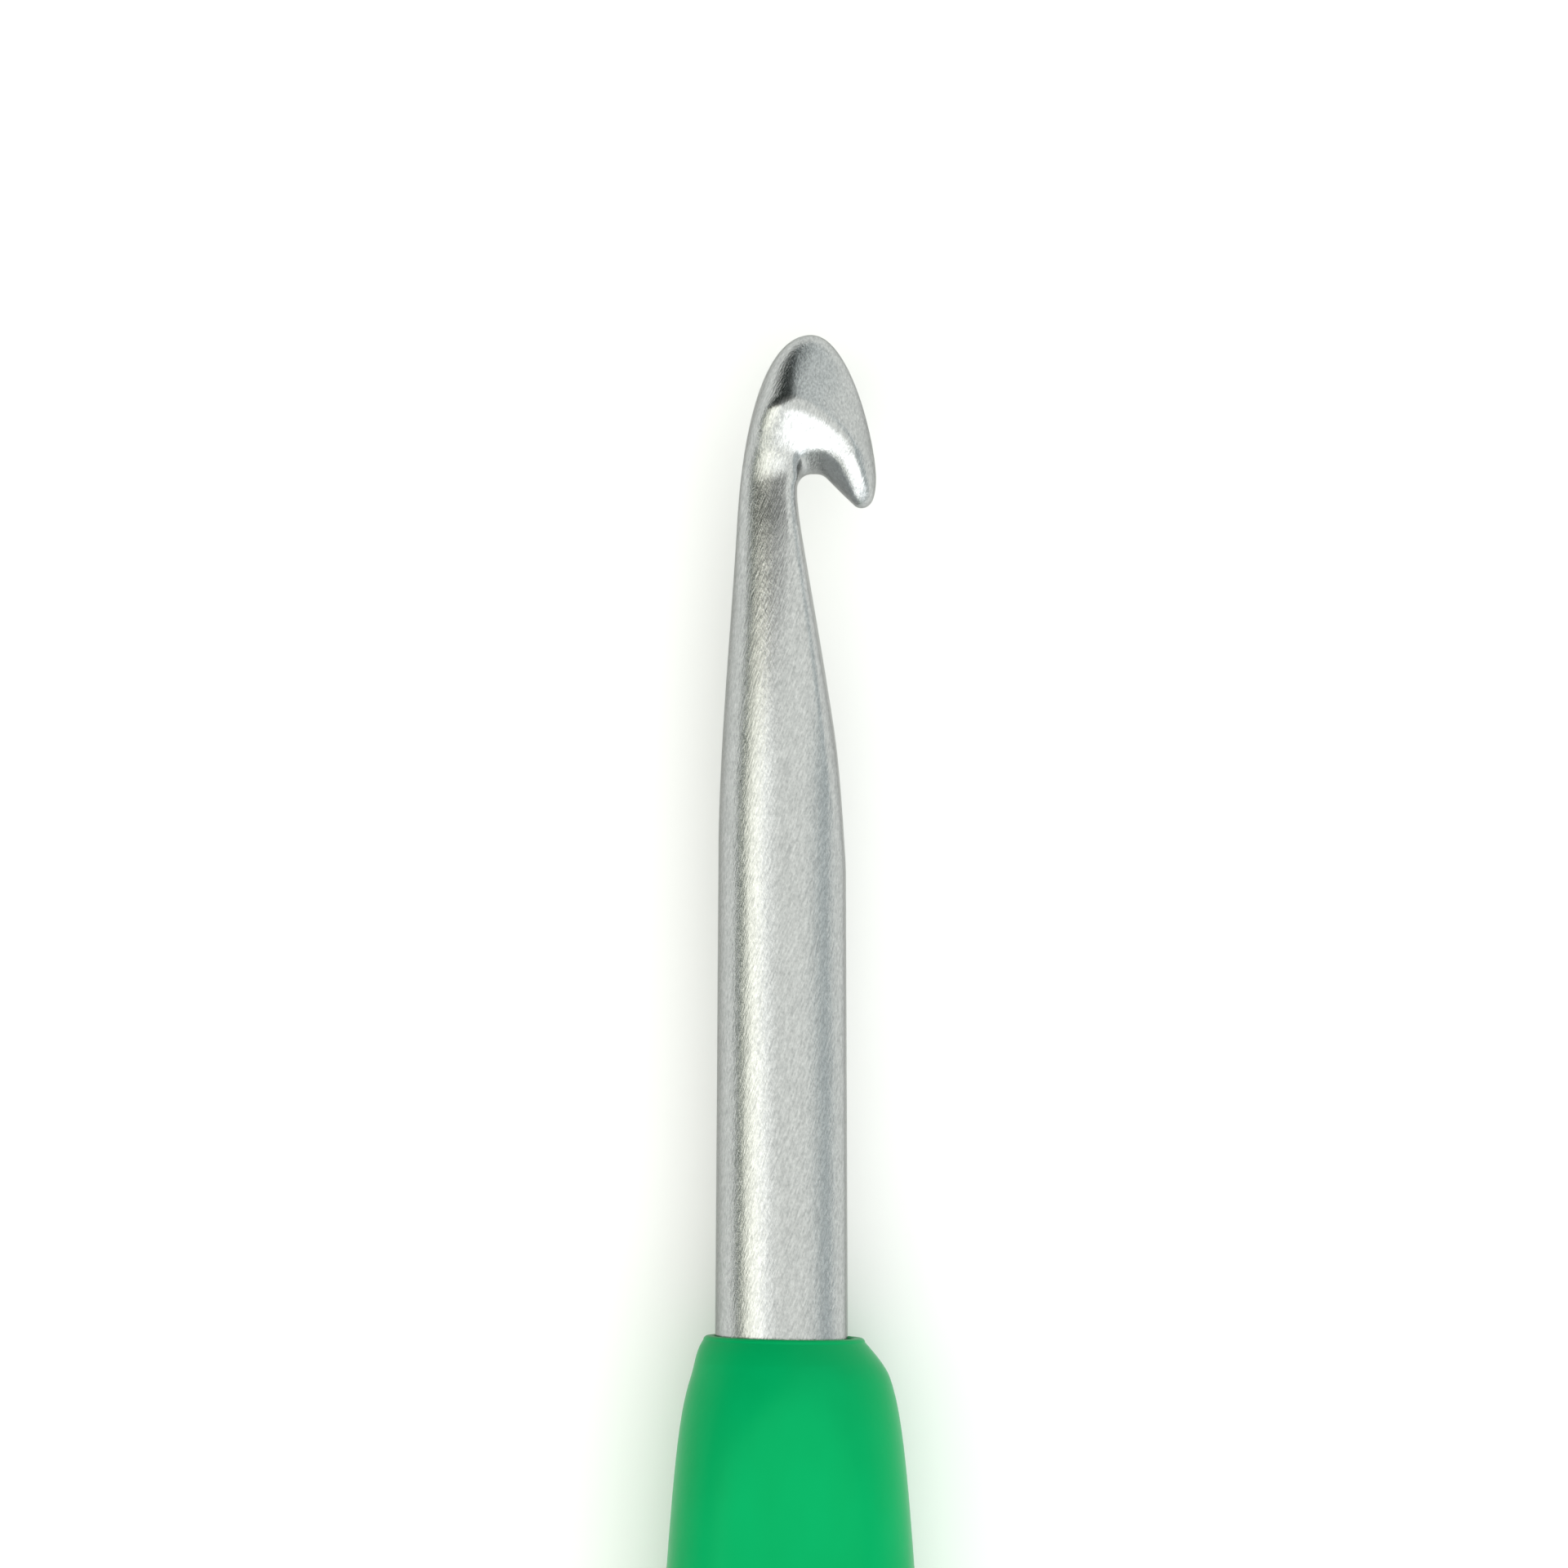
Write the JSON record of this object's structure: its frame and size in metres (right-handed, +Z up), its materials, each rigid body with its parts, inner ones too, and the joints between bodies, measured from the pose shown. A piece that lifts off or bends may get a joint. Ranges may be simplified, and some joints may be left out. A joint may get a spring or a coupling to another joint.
{
  "type": "crochet hook",
  "caption": "Tapered-head crochet hook: a forged aluminium rod with a flared mouth, moulded into an oval soft-grip handle with a thumb swell, a waist and a rounded butt.",
  "frame": {"origin": "bottom centre of the whole object's box, on the surface that the handle's flat underside lies on", "axes": "+X along the hook from its butt to its tip, +Z up out of the handle's upper flat, and the mouth opens to -Y"},
  "size_m": [0.145, 0.0118, 0.0094],
  "materials": {
    "aluminium": "satin, tumbled, with fine slanting scratches",
    "core_plastic": "plain moulded",
    "grip_rubber": "smooth satin soft-touch, green"
  },
  "bodies": {
    "root": {"hook_rod": "aluminium", "handle_core": "core_plastic", "soft_grip": "grip_rubber"}
  },
  "joints": []
}
